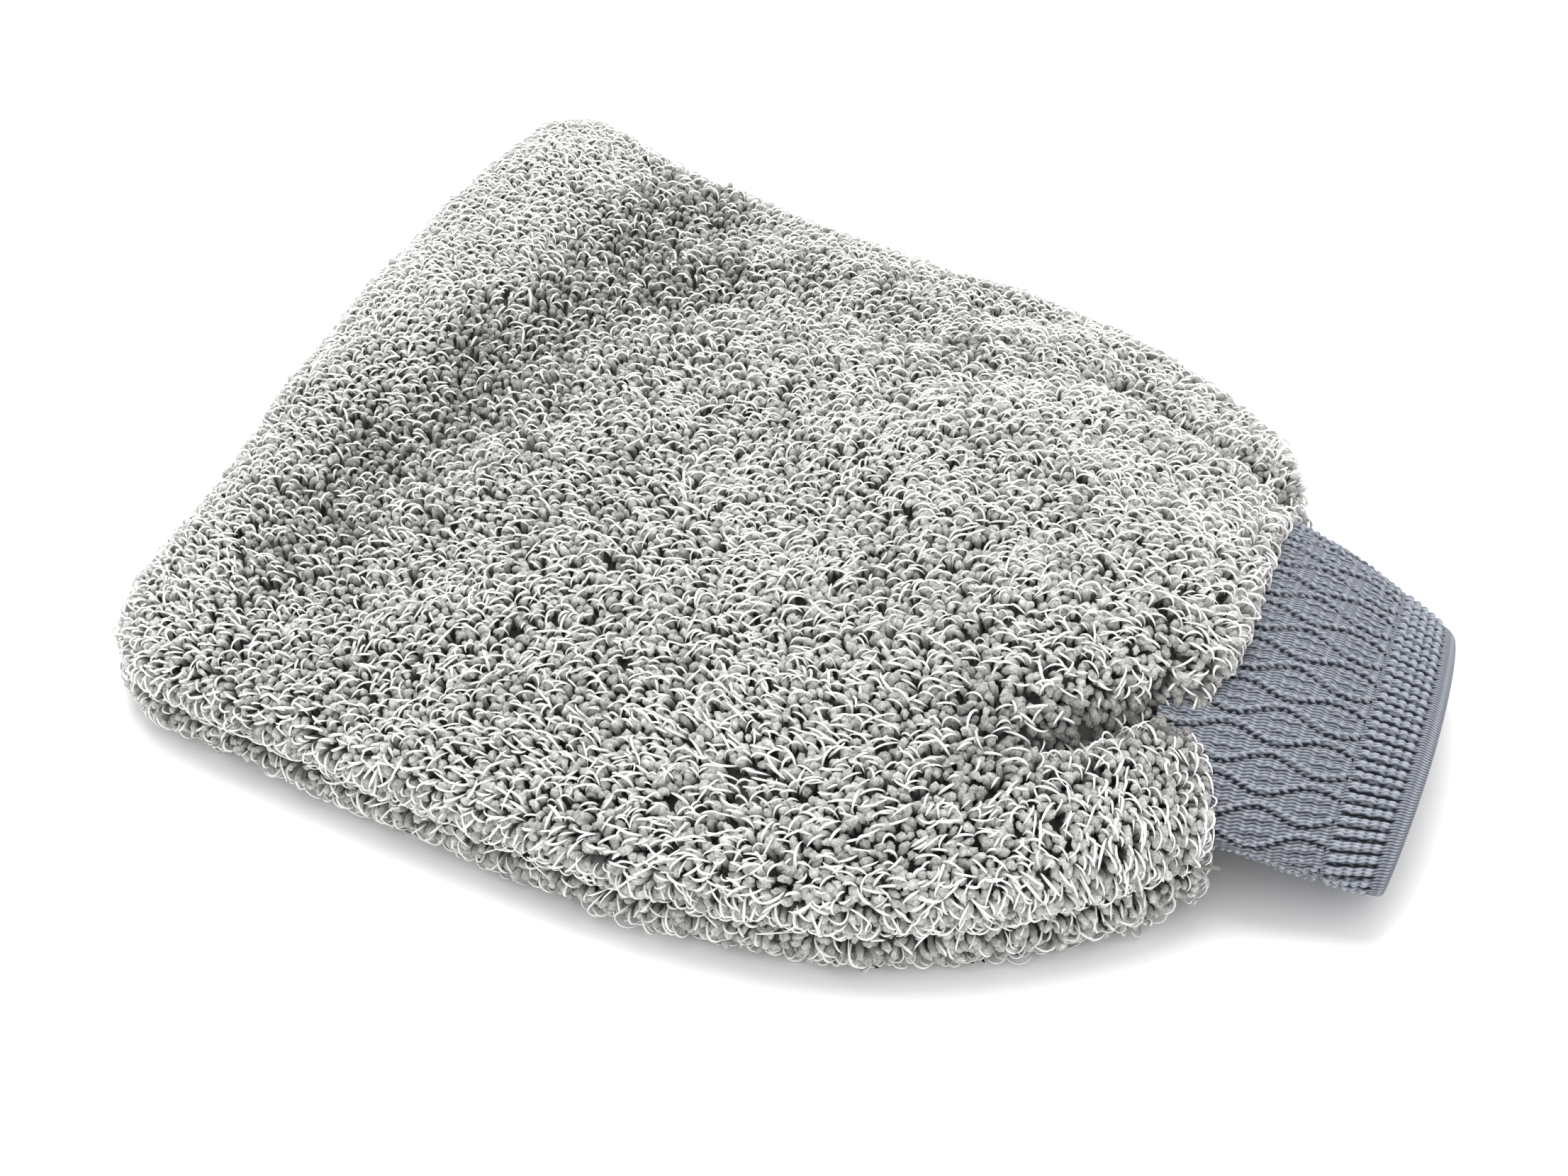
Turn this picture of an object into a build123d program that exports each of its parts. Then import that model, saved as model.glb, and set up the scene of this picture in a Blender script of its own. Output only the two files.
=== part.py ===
"""Twist-pile wash mitt with a doubled knit cuff, lying flat on its palm side.

Millimetres. +X runs from the finger end to the cuff's hem, +Y to the far side, +Z up out of the back.
The origin is under the middle of the mitt, on the surface that it lies on.

The body is two pile panels, back and palm. Each is a pile layer on a knitted backing, and they are sewn
together round the finger end and both sides. A thin lining bag hangs inside. The cuff is one knitted
tube folded back on itself at the hem, so it has an outer and an inner ply, with elastic yarns between.
"""
from build123d import *
import os

# ---------------------------------------------------------------- driving dimensions
pile = 9.0                  # depth of the pile, and so of each panel outside its backing
backing = 1.0               # knitted ground that holds the pile
lining = 0.8                # thin inner bag
layer_gap = 0.1             # air between one layer and the next
seam_z = 11.0               # height of the closing seam above the surface
side_radius = 8.0           # how far the rounded sides of the pillow run in from its edge
finger_cap = 4.5            # how far the body's second cross-section lies from its finger end

ply = 1.0                   # one thickness of the cuff's knit
ply_gap = 0.8               # room between the plies, where the elastic lies
cuff_clearance = 0.4        # between the cuff and the pile that hangs over it
hem_cap = 1.4               # thickness of the fold at the hem's very end

thread_r = 0.3
stitch_length = 4.0
stitch_pitch = 6.0
channel_height = 1.4        # room that the pile leaves along the closing seam
elastic_r = 0.25

# The body's cross-sections, from the finger end to the wrist. Each stands upright over the line from
# a near edge point to a far edge point, and has the height of its underside, of its rounded sides'
# top and of its crown. The finger end and the wrist are both a little askew. An underside below the
# surface is cut off there, which leaves the flat that the mitt rests on.
body_sections = [
    {"near": (-112.0, -69.8), "far": (-133.5, 73.2), "under": 4.0, "side": 13.0, "crown": 17.0},
    {"near": (-106.5, -89.8), "far": (-130.0, 94.2), "under": 0.6, "side": 18.0, "crown": 25.0},
    {"near": (-92.0, -98.4), "far": (-111.5, 100.0), "under": -0.8, "side": 20.0, "crown": 31.0},
    {"near": (-50.0, -98.8), "far": (-60.0, 99.4), "under": -1.0, "side": 21.0, "crown": 35.0},
    {"near": (5.0, -97.3), "far": (-5.0, 97.7), "under": -1.0, "side": 21.0, "crown": 37.0},
    {"near": (48.0, -88.3), "far": (36.0, 89.7), "under": -1.0, "side": 22.0, "crown": 40.0},
    {"near": (82.0, -69.3), "far": (64.0, 76.7), "under": -0.8, "side": 24.0, "crown": 42.0},
    {"near": (101.0, -50.0), "far": (78.0, 62.0), "under": 0.2, "side": 26.0, "crown": 40.0},
    {"near": (107.0, -41.0), "far": (82.5, 56.0), "under": 1.5, "side": 26.0, "crown": 38.0},
]

# The cuff's oval cross-sections, from the wrist seam, along the sleeve, to the two ends of the hem.
wrist = {"near": (88.0, -33.8), "far": (68.0, 52.2), "under": 6.5, "crown": 33.0}
sleeve_middle = {"near": (108.0, -31.3), "far": (88.5, 51.2), "under": 4.0, "crown": 31.5}
hem_start = {"near": (124.0, -28.6), "far": (107.0, 48.2), "under": 1.5, "crown": 26.5}
hem_end = {"near": (135.4, -25.3), "far": (119.0, 44.9), "under": 1.0, "crown": 22.5}


# ---------------------------------------------------------------- section helpers
def between(first, last, share):
    """The section that lies a share of the way from one section to another."""
    section = {}
    for edge in ("near", "far"):
        section[edge] = tuple(a + (b - a) * share for a, b in zip(first[edge], last[edge]))
    for height in set(first) - {"near", "far"}:
        section[height] = first[height] + (last[height] - first[height]) * share
    return section


def width_of(section):
    return (Vector(*section["far"]) - Vector(*section["near"])).length


def upright(section):
    """The plane that stands on a section's line: its x runs from near to far, and its y is up."""
    start = Vector(*section["near"], 0)
    across = (Vector(*section["far"], 0) - start).normalized()
    return Plane(origin=start, x_dir=across, z_dir=across.cross(Vector(0, 0, 1)))


def edge_point(section, edge, step, z):
    """A section's near or far edge point at height z, moved in by a step along its line."""
    other = {"near": "far", "far": "near"}[edge]
    start = Vector(*section[edge], z)
    return start + (Vector(*section[other], z) - start).normalized() * step


def pocket_sections(depth):
    """The body's sections that the pocket runs through. The first closes its finger end, depth inside."""
    first, second = body_sections[1:3]
    span = (Vector(*second["far"]) - Vector(*first["far"])).length
    return [between(first, second, (depth - finger_cap) / span)] + body_sections[2:6]


# ---------------------------------------------------------------- forms that the pieces are cut from
def pillow_form():
    """All of the body, filled: flat under, rounded at the sides, crowned on the back."""
    with BuildPart() as form:
        for section in body_sections:
            under = section["under"]
            side = section["side"]
            left = side_radius
            right = width_of(section) - side_radius
            with BuildSketch(upright(section)):
                with BuildLine():
                    Line((left, under), (right, under))
                    ThreePointArc((right, under), (right + side_radius, (under + side) / 2), (right, side))
                    ThreePointArc((right, side), ((left + right) / 2, section["crown"]), (left, side))
                    ThreePointArc((left, side), (left - side_radius, (under + side) / 2), (left, under))
                make_face()
        loft()
        split(bisect_by=Plane.XY, keep=Keep.TOP)
    return form.part


def pocket_form(depth):
    """All of the body that lies at least depth inside it, narrowing to the wrist seam.

    Each section is two arcs that meet in an edge on the near side and on the far side.
    """
    wrist_middle = (wrist["under"] + wrist["crown"]) / 2
    outlines = [(section, depth, seam_z, 0) for section in pocket_sections(depth)]
    outlines.append((wrist, depth - pile, wrist_middle, wrist["under"]))
    with BuildPart() as form:
        for section, step, edge_z, under in outlines:
            right = width_of(section) - step
            middle = width_of(section) / 2
            with BuildSketch(upright(section)):
                with BuildLine():
                    ThreePointArc((step, edge_z), (middle, under + step), (right, edge_z))
                    ThreePointArc((right, edge_z), (middle, section["crown"] - step), (step, edge_z))
                make_face()
        loft()
    return form.part


def cuff_form(sections, depth):
    """All of a length of the cuff that lies at least depth inside it."""
    with BuildPart() as form:
        for section in sections:
            half_width = width_of(section) / 2
            half_height = (section["crown"] - section["under"]) / 2
            with BuildSketch(upright(section)):
                with Locations((half_width, section["under"] + half_height)):
                    Ellipse(half_width - depth, half_height - depth)
        loft(ruled=True)
    return form.part


def seam_path(step, z):
    """The line round both sides and the finger end, a step in from the body's edge."""
    near_points = [edge_point(section, "near", step, z) for section in reversed(pocket_sections(step))]
    far_points = [edge_point(section, "far", step, z) for section in pocket_sections(step)]
    with BuildLine() as path:
        Spline(*near_points)
        Line(near_points[-1], far_points[0])
        Spline(*far_points)
    return path.wire()


def stitches_along(path, label):
    """Short bars of thread, evenly spaced along a path."""
    count = int(path.length / stitch_pitch)
    places = []
    for number in range(count):
        share = (number + 0.5) / count
        frame = Plane(origin=path @ share, x_dir=path % share, z_dir=Vector(0, 0, 1))
        places.append(frame.location)
    with BuildPart() as thread:
        with Locations(*places):
            Cylinder(thread_r, stitch_length, rotation=(0, 90, 0))
    thread.part.label = label
    export_step(thread.part, f"parts/{label}.step")


def elastic_rings(label, spans):
    """Closed loops of elastic yarn, midway between the two plies, over some lengths of the cuff.

    Each span is its first and last section and its number of loops.
    """
    depth = ply + ply_gap / 2
    with BuildPart() as rings:
        for first, last, count in spans:
            for number in range(count):
                section = between(first, last, (number + 0.5) / count)
                half_width = width_of(section) / 2
                half_height = (section["crown"] - section["under"]) / 2
                centre = (half_width, section["under"] + half_height)
                with BuildLine(upright(section)) as loop:
                    EllipticalCenterArc(centre, half_width - depth, half_height - depth, arc_size=360)
                with BuildSketch(Plane(origin=loop.line @ 0, z_dir=loop.line % 0)):
                    Circle(elastic_r)
                sweep(path=loop.line)
    rings.part.label = label
    export_step(rings.part, f"parts/{label}.step")


# ---------------------------------------------------------------- pieces
def pile_layer(label, keep):
    """The pile of one panel, open at the wrist, where it hangs over the start of the cuff."""
    with BuildPart() as piece:
        add(pillow_form())
        add(pocket_form(pile - layer_gap), mode=Mode.SUBTRACT)
        add(cuff_form([wrist, sleeve_middle, hem_start], -cuff_clearance), mode=Mode.SUBTRACT)
        # Channel along the closing seam.
        channel_edge = seam_path(pile - 4.0, 0)
        with BuildSketch(Plane.XY.offset(seam_z - channel_height / 2)):
            with BuildLine():
                add(channel_edge)
                Line(channel_edge @ 1, channel_edge @ 0)
            make_face()
        extrude(amount=channel_height, mode=Mode.SUBTRACT)
        # Room for the overlock round the wrist seam.
        half_width = width_of(wrist) / 2
        half_height = (wrist["crown"] - wrist["under"]) / 2
        with BuildSketch(upright(wrist).offset(-0.4)):
            with Locations((half_width, wrist["under"] + half_height)):
                Ellipse(half_width + 1.2, half_height + 1.2)
        extrude(amount=stitch_length + 1.4, mode=Mode.SUBTRACT)
        split(bisect_by=Plane.XY.offset(seam_z), keep=keep)
    piece.part.label = label
    export_step(piece.part, f"parts/{label}.step")


def pocket_layer(label, depth, thickness, keep):
    """One panel of a thin layer that lines the pocket, cut apart at the closing seam."""
    with BuildPart() as piece:
        add(pocket_form(depth))
        add(pocket_form(depth + thickness), mode=Mode.SUBTRACT)
        split(bisect_by=Plane.XY.offset(seam_z), keep=keep)
    piece.part.label = label
    export_step(piece.part, f"parts/{label}.step")


def cuff_ply(label, depth):
    """One ply of the sleeve, from the wrist seam to the hem."""
    with BuildPart() as piece:
        add(cuff_form([wrist, sleeve_middle, hem_start], depth))
        add(cuff_form([wrist, sleeve_middle, hem_start], depth + ply), mode=Mode.SUBTRACT)
    piece.part.label = label
    export_step(piece.part, f"parts/{label}.step")


def cuff_hem(label):
    """The ribbed hem: both plies and the fold that joins them, hollow between for the elastic."""
    hem_length = (Vector(*hem_end["near"]) - Vector(*hem_start["near"])).length
    fold_start = between(hem_start, hem_end, 1 - hem_cap / hem_length)
    with BuildPart() as hollow:
        add(cuff_form([hem_start, fold_start], ply))
        add(cuff_form([hem_start, fold_start], ply + ply_gap), mode=Mode.SUBTRACT)
    with BuildPart() as piece:
        add(cuff_form([hem_start, hem_end], 0))
        add(cuff_form([hem_start, hem_end], 2 * ply + ply_gap), mode=Mode.SUBTRACT)
        add(hollow.part, mode=Mode.SUBTRACT)
    piece.part.label = label
    export_step(piece.part, f"parts/{label}.step")


def wrist_seam_thread(label):
    """Overlock bars that run from the wrist seam onto the cuff, all the way round it."""
    rings = []
    for section in (wrist, sleeve_middle):
        half_width = width_of(section) / 2
        half_height = (section["crown"] - section["under"]) / 2
        centre = (half_width, section["under"] + half_height)
        with BuildLine(upright(section)) as ring:
            EllipticalCenterArc(centre, half_width + 0.5, half_height + 0.5, arc_size=360)
        rings.append(ring.wire())
    count = int(rings[0].length / stitch_pitch)
    places = []
    for number in range(count):
        start = rings[0] @ (number / count)
        along = (rings[1] @ (number / count) - start).normalized()
        places.append(Plane(origin=start + along * (0.2 + stitch_length / 2), z_dir=along).location)
    with BuildPart() as thread:
        with Locations(*places):
            Cylinder(thread_r, stitch_length)
    thread.part.label = label
    export_step(thread.part, f"parts/{label}.step")


os.makedirs("parts", exist_ok=True)

backing_depth = pile
lining_depth = backing_depth + backing + layer_gap
inner_ply_depth = ply + ply_gap

pile_layer("back_pile", Keep.TOP)
pile_layer("palm_pile", Keep.BOTTOM)
pocket_layer("back_backing", backing_depth, backing, Keep.TOP)
pocket_layer("palm_backing", backing_depth, backing, Keep.BOTTOM)
pocket_layer("back_lining", lining_depth, lining, Keep.TOP)
pocket_layer("palm_lining", lining_depth, lining, Keep.BOTTOM)
stitches_along(seam_path(pile - 1.7, seam_z), "closing_seam_thread")
stitches_along(seam_path(lining_depth + lining + 6.5, seam_z + 0.4), "lining_seam_thread")

cuff_ply("cuff_outer_ply", 0)
cuff_ply("cuff_inner_ply", inner_ply_depth)
cuff_hem("cuff_hem")
elastic_rings("cuff_elastic_yarns", [(wrist, sleeve_middle, 3), (sleeve_middle, hem_start, 2)])
elastic_rings("hem_elastic_yarns", [(hem_start, between(hem_start, hem_end, 0.85), 4)])
wrist_seam_thread("wrist_seam_thread")
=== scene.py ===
"""Twist-pile wash mitt: the looks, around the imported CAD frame.

Shapes are worked out in millimetres in the CAD's frame, and become metres in new_piece. The body is two
skins, back and palm, folded as the mitt lies. Each grows nubs and filaments of pile from points scattered
on it, over a knitted ground and a lining that follow the same folds. The cuff is three knitted tubes.
"""

import math

import bpy
import numpy as np
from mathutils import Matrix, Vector


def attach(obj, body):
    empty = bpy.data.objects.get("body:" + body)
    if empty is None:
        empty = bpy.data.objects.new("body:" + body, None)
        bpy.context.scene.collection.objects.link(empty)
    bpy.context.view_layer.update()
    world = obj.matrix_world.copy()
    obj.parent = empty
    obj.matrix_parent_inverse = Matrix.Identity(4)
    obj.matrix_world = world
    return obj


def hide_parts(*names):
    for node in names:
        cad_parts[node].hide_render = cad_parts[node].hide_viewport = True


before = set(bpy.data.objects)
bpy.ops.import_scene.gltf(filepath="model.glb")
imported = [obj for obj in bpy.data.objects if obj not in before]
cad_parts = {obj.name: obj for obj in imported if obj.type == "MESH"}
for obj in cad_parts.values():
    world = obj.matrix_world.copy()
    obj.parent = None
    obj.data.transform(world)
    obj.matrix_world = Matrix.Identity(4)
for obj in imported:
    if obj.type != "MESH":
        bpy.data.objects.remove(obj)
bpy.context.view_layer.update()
MM = 0.001
rng = np.random.default_rng(11)
scene = bpy.context.scene

# ---------------------------------------------------------------- shape of the mitt, in millimetres
# Cross-sections of the body from the finger end to the wrist, each upright over the line from a near
# edge point to a far edge point: x and y of both points, underside, top of the rounded side, crown.
BODY = np.array([
    (-112.0, -69.8, -133.5, 73.2, 4.0, 13.0, 17.0),
    (-106.5, -89.8, -130.0, 94.2, 0.6, 18.0, 25.0),
    (-92.0, -98.4, -111.5, 100.0, 0.0, 20.0, 31.0),
    (-50.0, -98.8, -60.0, 99.4, 0.0, 21.0, 35.0),
    (5.0, -97.3, -5.0, 97.7, 0.0, 21.0, 37.0),
    (48.0, -88.3, 36.0, 89.7, 0.0, 22.0, 40.0),
    (82.0, -69.3, 64.0, 76.7, 0.0, 24.0, 42.0),
    (101.0, -50.0, 78.0, 62.0, 0.2, 26.0, 40.0),
    (107.0, -41.0, 82.5, 56.0, 1.5, 26.0, 38.0),
])
# The cuff's oval sections, from the wrist seam to the hem's end: x and y of both points, underside, crown.
CUFF = np.array([
    (88.0, -33.8, 68.0, 52.2, 6.5, 33.0),
    (108.0, -31.3, 88.5, 51.2, 4.0, 31.5),
    (124.0, -28.6, 107.0, 48.2, 1.5, 26.5),
    (135.4, -25.3, 119.0, 44.9, 1.0, 22.5),
])
SIDE_RUN = 8.0          # how far the body's rounded sides run in from its edge
FINGER_ROWS = 8         # rows of the body's grid that close its finger end
WRIST_ROWS = 10         # rows that turn in onto the cuff
CUFF_JOIN = 0.86        # where the body ends on the cuff, in CUFF's rows

# Layers, as depth inside the pile's outside and thickness.
GROUND_DEPTH, GROUND_THICK = 4.6, 1.0
LINING_DEPTH, LINING_THICK = 6.2, 0.8
SEAM_DEPTH = 4.0        # of the closing seam's stitches
ROOT_DEPTH = 5.4        # of the nubs' roots, inside the ground
PLY, PLY_GAP = 1.0, 0.8             # one thickness of the cuff's knit, and the room between its two plies

# Folds in the body as it lies: a line in plan, its depth and its half-width.
FOLDS = (
    # Shallow valley behind the finger end, and its branch along the far side.
    ([(-84, 74), (-72, 37), (-76, -3), (-88, -47)], 4.0, 17.0),
    ([(-60, 44), (-33, 55), (-5, 60)], 2.4, 14.0),
    # Narrow fold at the far shoulder.
    ([(28, 64), (42, 60), (80, 49)], 3.2, 4.5),
    # The crease that parts the two lobes at the wrist, and the wider dip that it lies in.
    ([(66, -42), (72, -38), (78, -30), (88, -20), (112, -14)], 9.0, 2.6),
    ([(56, -44), (70, -41), (78, -31), (88, -20), (112, -14)], 2.6, 9.0),
)
# Where the outline leaves its cross-sections: x and y of the middle, size, and shift in x and in y.
NUDGES = (
    (-128, 94, 22, 2.4, 6.2),       # far finger corner
    (-112, -82, 20, -2.4, -0.4),    # near finger corner
    (76, 64, 14, 1.8, 2.2),         # far shoulder
    (-50, 98, 50, 0, -5.2),         # far side, drawn in between its corners
)
# Swells beside the valleys: x and y of the middle, size and rise.
SWELLS = (
    (8, 18, 34, 2.2), (80, -2, 15, 1.8), (30, -66, 26, 1.6), (95, -52, 12, 1.2), (-118, 5, 16, 1.5),
    (-114, 84, 16, 2.4),
)


# ---------------------------------------------------------------- curves and grids
def unit(vectors):
    return vectors / np.maximum(np.linalg.norm(vectors, axis=-1, keepdims=True), 1e-9)


def smooth_rows(knots, values, at):
    """Rows of values at the given places, on a smooth curve that never overshoots (monotone cubic)."""
    step = np.diff(knots)[:, None]
    slope = np.diff(values, axis=0) / step
    turns = slope[1:] * slope[:-1] <= 0
    inner = np.where(turns, 0, 2 * slope[1:] * slope[:-1] / np.where(turns, 1, slope[1:] + slope[:-1]))
    tangent = np.vstack([slope[:1], inner, slope[-1:]])
    i = np.clip(np.searchsorted(knots, at, side="right") - 1, 0, len(step) - 1)
    t = ((at - knots[i]) / step[i, 0])[:, None]
    start, end = values[i], values[i + 1]
    leave, arrive = tangent[i] * step[i], tangent[i + 1] * step[i]
    return (
        (2 * t**3 - 3 * t**2 + 1) * start + (t**3 - 2 * t**2 + t) * leave
        + (3 * t**2 - 2 * t**3) * end + (t**3 - t**2) * arrive
    )


def sections_between(table, rows, first, behind=0.0):
    """Evenly spaced cross-sections along a table of them, from first on, each taken from behind its place."""
    middles = (table[:, 0:2] + table[:, 2:4]) / 2
    knots = np.concatenate([[0], np.cumsum(np.linalg.norm(np.diff(middles, axis=0), axis=1))])
    return smooth_rows(knots, table, np.maximum(np.linspace(first, knots[-1], rows) - behind, 0))


def resampled(line, count):
    """The same line with evenly spaced points."""
    run = np.concatenate([[0], np.cumsum(np.linalg.norm(np.diff(line, axis=0), axis=1))])
    at = np.linspace(0, run[-1], count)
    return np.stack([np.interp(at, run, line[:, k]) for k in range(line.shape[1])], 1)


def stood_up(section, line):
    """Points (across, up) of a cross-section, placed in space over its near and far points."""
    near, far = section[0:2], section[2:4]
    share = line[:, :1] / np.linalg.norm(far - near)
    return np.hstack([near * (1 - share) + far * share, line[:, 1:]])


def rounded_lip(row, target, bulge, rows):
    """Rows that turn from a grid's end row onto a target row, bulging out on the way."""
    turn = np.linspace(0, math.pi / 2, rows + 1)[1:, None, None]
    return row + (target - row) * (1 - np.cos(turn)) + np.asarray(bulge) * np.sin(turn) * np.cos(turn) * 2


def distance_to_line(points, line):
    """Distance in plan from each point to a line of straight runs, and its share of the way along, 0 to 1."""
    best = np.full(points.shape[:-1], 1e9)
    share = np.zeros(points.shape[:-1])
    for k, (a, b) in enumerate(zip(line[:-1], line[1:])):
        a, b = np.array(a, float), np.array(b, float)
        t = np.clip(((points[..., :2] - a) @ (b - a)) / ((b - a) @ (b - a)), 0, 1)
        gap = np.linalg.norm(points[..., :2] - (a + t[..., None] * (b - a)), axis=-1)
        share = np.where(gap < best, (k + t) / (len(line) - 1), share)
        best = np.minimum(gap, best)
    return best, share


def body_half(upper, depth=0.0, rows=150, columns=170):
    """Grid of points over the back (upper) or the palm half, depth inside the pile's outside."""
    grid = []
    sign = 1 if upper else -1
    first = depth * 1.3
    sections = sections_between(BODY, rows, first)
    narrower = sections_between(BODY, rows, first, depth)
    for section, earlier in zip(sections, narrower):
        across = (section[2:4] - section[0:2]) / np.linalg.norm(section[2:4] - section[0:2])
        # At the finger corners the outline widens quickly, so the inset is measured from a narrower section.
        section[0:2] += across * (depth + max((earlier[0:2] - section[0:2]) @ across, 0))
        section[2:4] -= across * (depth + max((section[2:4] - earlier[2:4]) @ across, 0))
        under, side, crown = section[4:] + np.array([1, -1, -1]) * depth
        width = np.linalg.norm(section[2:4] - section[0:2])
        seam, reach = (under + side) / 2, max((side - under) / 2, 0.3)
        side, under, crown = seam + reach, seam - reach, max(crown, seam + reach)
        quarter = np.linspace(0, math.pi / 2, 24)
        near = np.stack([SIDE_RUN * (1 - np.cos(quarter)), seam + sign * reach * np.sin(quarter)], 1)
        far = np.stack([width - near[::-1, 0], near[::-1, 1]], 1)
        across = np.linspace(SIDE_RUN, width - SIDE_RUN, 80)[1:-1]
        bow = 1 - ((across - width / 2) / (width / 2 - SIDE_RUN)) ** 2
        top = side + (crown - side) * bow if upper else under + 0 * across
        line = np.vstack([near, np.stack([across, top], 1), far])
        grid.append(stood_up(section, resampled(line, columns)))
    grid = np.array(grid)
    # The finger end turns down (or up) to the seam's line.
    chord = grid[0].copy()
    chord[:, 2] = np.interp(np.arange(columns), [0, columns - 1], grid[0][[0, -1], 2])
    outward = grid[0].mean(0) - grid[4].mean(0)
    outward[2] = 0
    outward /= np.linalg.norm(outward)
    fingers = rounded_lip(grid[0], chord, outward * 1.6, FINGER_ROWS)[::-1]
    # The wrist end turns in onto the cuff.
    wrist = rounded_lip(grid[-1], cuff_half(upper, columns), -outward * 2.2, WRIST_ROWS)
    return np.vstack([fingers, grid, wrist])


def cuff_half(upper, columns):
    """Half of the cuff's outline where the body ends, from the near seam point to the far one."""
    section = smooth_rows(np.arange(4.0), CUFF, np.array([CUFF_JOIN]))[0]
    width = np.linalg.norm(section[2:4] - section[0:2])
    turn = np.linspace(0, math.pi, columns)
    sign = 1 if upper else -1
    middle, reach = (section[4] + section[5]) / 2, (section[5] - section[4]) / 2
    line = np.stack([width / 2 * (1 - np.cos(turn)), middle + sign * reach * np.sin(turn)], 1)
    return stood_up(section, line)


def grid_normals(grid, upper):
    """Unit normals, outward, of a skin's grid, whose rows run along +X and whose columns run along +Y."""
    normal = unit(np.cross(np.gradient(grid, axis=0), np.gradient(grid, axis=1)))
    return normal if upper else -normal


def folded(grid, upper):
    """Lays the folds and the cloth's unevenness into one half of the body."""
    grid = grid.copy()
    # The wrist end lies back from the cuff, least at the near lobe.
    near_side = np.clip((-grid[..., 1] - 22) / 25, 0, 1)
    far_side = np.clip((grid[..., 1] - 40) / 20, 0, 1)
    grid[..., 0] -= (6.5 - 3.0 * near_side - 1.5 * far_side) * np.clip((grid[..., 0] - 50) / 40, 0, 1)
    for cx, cy, size, dx, dy in NUDGES:
        near_it = np.exp(-((grid[..., 0] - cx) ** 2 + (grid[..., 1] - cy) ** 2) / size**2)
        grid[..., 0] += dx * near_it
        grid[..., 1] += dy * near_it
    x, y = grid[..., 0], grid[..., 1]
    swell = (
        np.sin(x * 0.11 + 1.3 * np.sin(y * 0.05)) * np.sin(y * 0.093 + 0.8)
        + 0.6 * np.sin(x * 0.19 - y * 0.13 + 2.0) + 0.5 * np.sin(y * 0.21 + x * 0.07)
    )
    if not upper:
        grid[..., 2] += 0.2 * (swell + 1) * np.clip(12 - grid[..., 2], 0, 1)
        return grid
    drop = -0.8 * swell
    for line, depth, width in FOLDS:
        gap, share = distance_to_line(grid, line)
        ends = np.clip(share * 5, 0, 1) * np.clip((1 - share) * 5 + 0.5, 0, 1)
        drop += depth * ends * np.exp(-((gap / width) ** 2))
    for cx, cy, size, rise in SWELLS:
        drop -= rise * np.exp(-((x - cx) ** 2 + (y - cy) ** 2) / size**2)
    # The near lobe lies lower than the far one.
    drop += 1.5 * np.clip((x - 62) / 20, 0, 1) * np.clip((-y - 23 - (92 - x) * 0.5) / 6, 0, 1)
    height = np.clip((grid[..., 2] - 12) / 12, 0, 1)
    grid[..., 2] -= drop * height
    # The wrist end is drawn back where the crease reaches it.
    grid[..., 0] -= 5.0 * np.exp(-(((y + 17) / 9) ** 2)) * np.clip((x - 78) / 14, 0, 1) * height
    return grid


def grooved(grid, normal):
    """Draws the skin in along its seam edges."""
    run = np.linalg.norm(np.diff(grid, axis=1), axis=-1)
    from_near = np.concatenate([np.zeros((len(grid), 1)), np.cumsum(run, 1)], 1)
    to_edge = np.minimum(from_near, from_near[:, -1:] - from_near)
    to_edge = np.minimum(to_edge, np.arange(len(grid))[:, None] * 1.1)
    depth = 2.4 - 1.4 * np.exp(-np.arange(len(grid))[:, None] / 8)
    return grid - normal * (depth * np.exp(-((to_edge / 2.0) ** 2)))[..., None]


# ---------------------------------------------------------------- shape of the cuff
CUFF_MIDDLES = (CUFF[:, 0:2] + CUFF[:, 2:4]) / 2
CUFF_RUN = np.concatenate([[0], np.cumsum(np.linalg.norm(np.diff(CUFF_MIDDLES, axis=0), axis=1))])
HEM_START, HEM_END = CUFF_RUN[2], CUFF_RUN[3]
SLEEVE_END = HEM_START - 0.4    # where the sleeve's plies meet the hem
WALE_SHEAR = math.tan(math.radians(13.0))       # how far the knit's lines slant round the cuff
COURSE = 1.5                    # millimetres from one course of the knit to the next
LOOP = 0.72                     # and from one loop to the next round it
FIGURE_LENGTH = 18.5            # after which the waving lines of beads repeat
FIGURE_LINES = 36               # lines of beads round the sleeve
HEM_RIBS = 68
HEM_BEAD = 1.65                 # from one bead of a rib to the next


def cuff_rings(run, depth, columns):
    """Rings of evenly spaced points round the cuff, at given runs along it and depths, and their lengths."""
    rings, lengths = [], []
    turn = np.linspace(0, 2 * math.pi, 721)
    for s, inset, section in zip(run, depth, smooth_rows(CUFF_RUN, CUFF, run)):
        width = np.linalg.norm(section[2:4] - section[0:2])
        middle, reach = (section[4] + section[5]) / 2, (section[5] - section[4]) / 2 - inset
        line = np.stack([width / 2 - (width / 2 - inset) * np.cos(turn), middle + reach * np.sin(turn)], 1)
        ring = resampled(stood_up(section, line), columns + 1)[:-1]
        # The knitted tube bows out towards its hem, most at its middle.
        off = (ring[:, 1] - (section[1] + section[3]) / 2) / (width / 2)
        ring[:, 0] += 1.4 * (s / HEM_END) ** 2 * (1 - off**2)
        ring[:, 0] += 1.8 * (s / HEM_END) ** 3 * (ring[:, 2] - middle) / reach
        ring[:, 1] -= 2.2 * math.sin(math.pi * min(s / HEM_START, 1.0)) * np.clip(-off, 0, 1)
        rings.append(ring)
        lengths.append(np.linalg.norm(np.diff(ring, axis=0), axis=1).sum())
    return np.array(rings), np.array(lengths)


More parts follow.
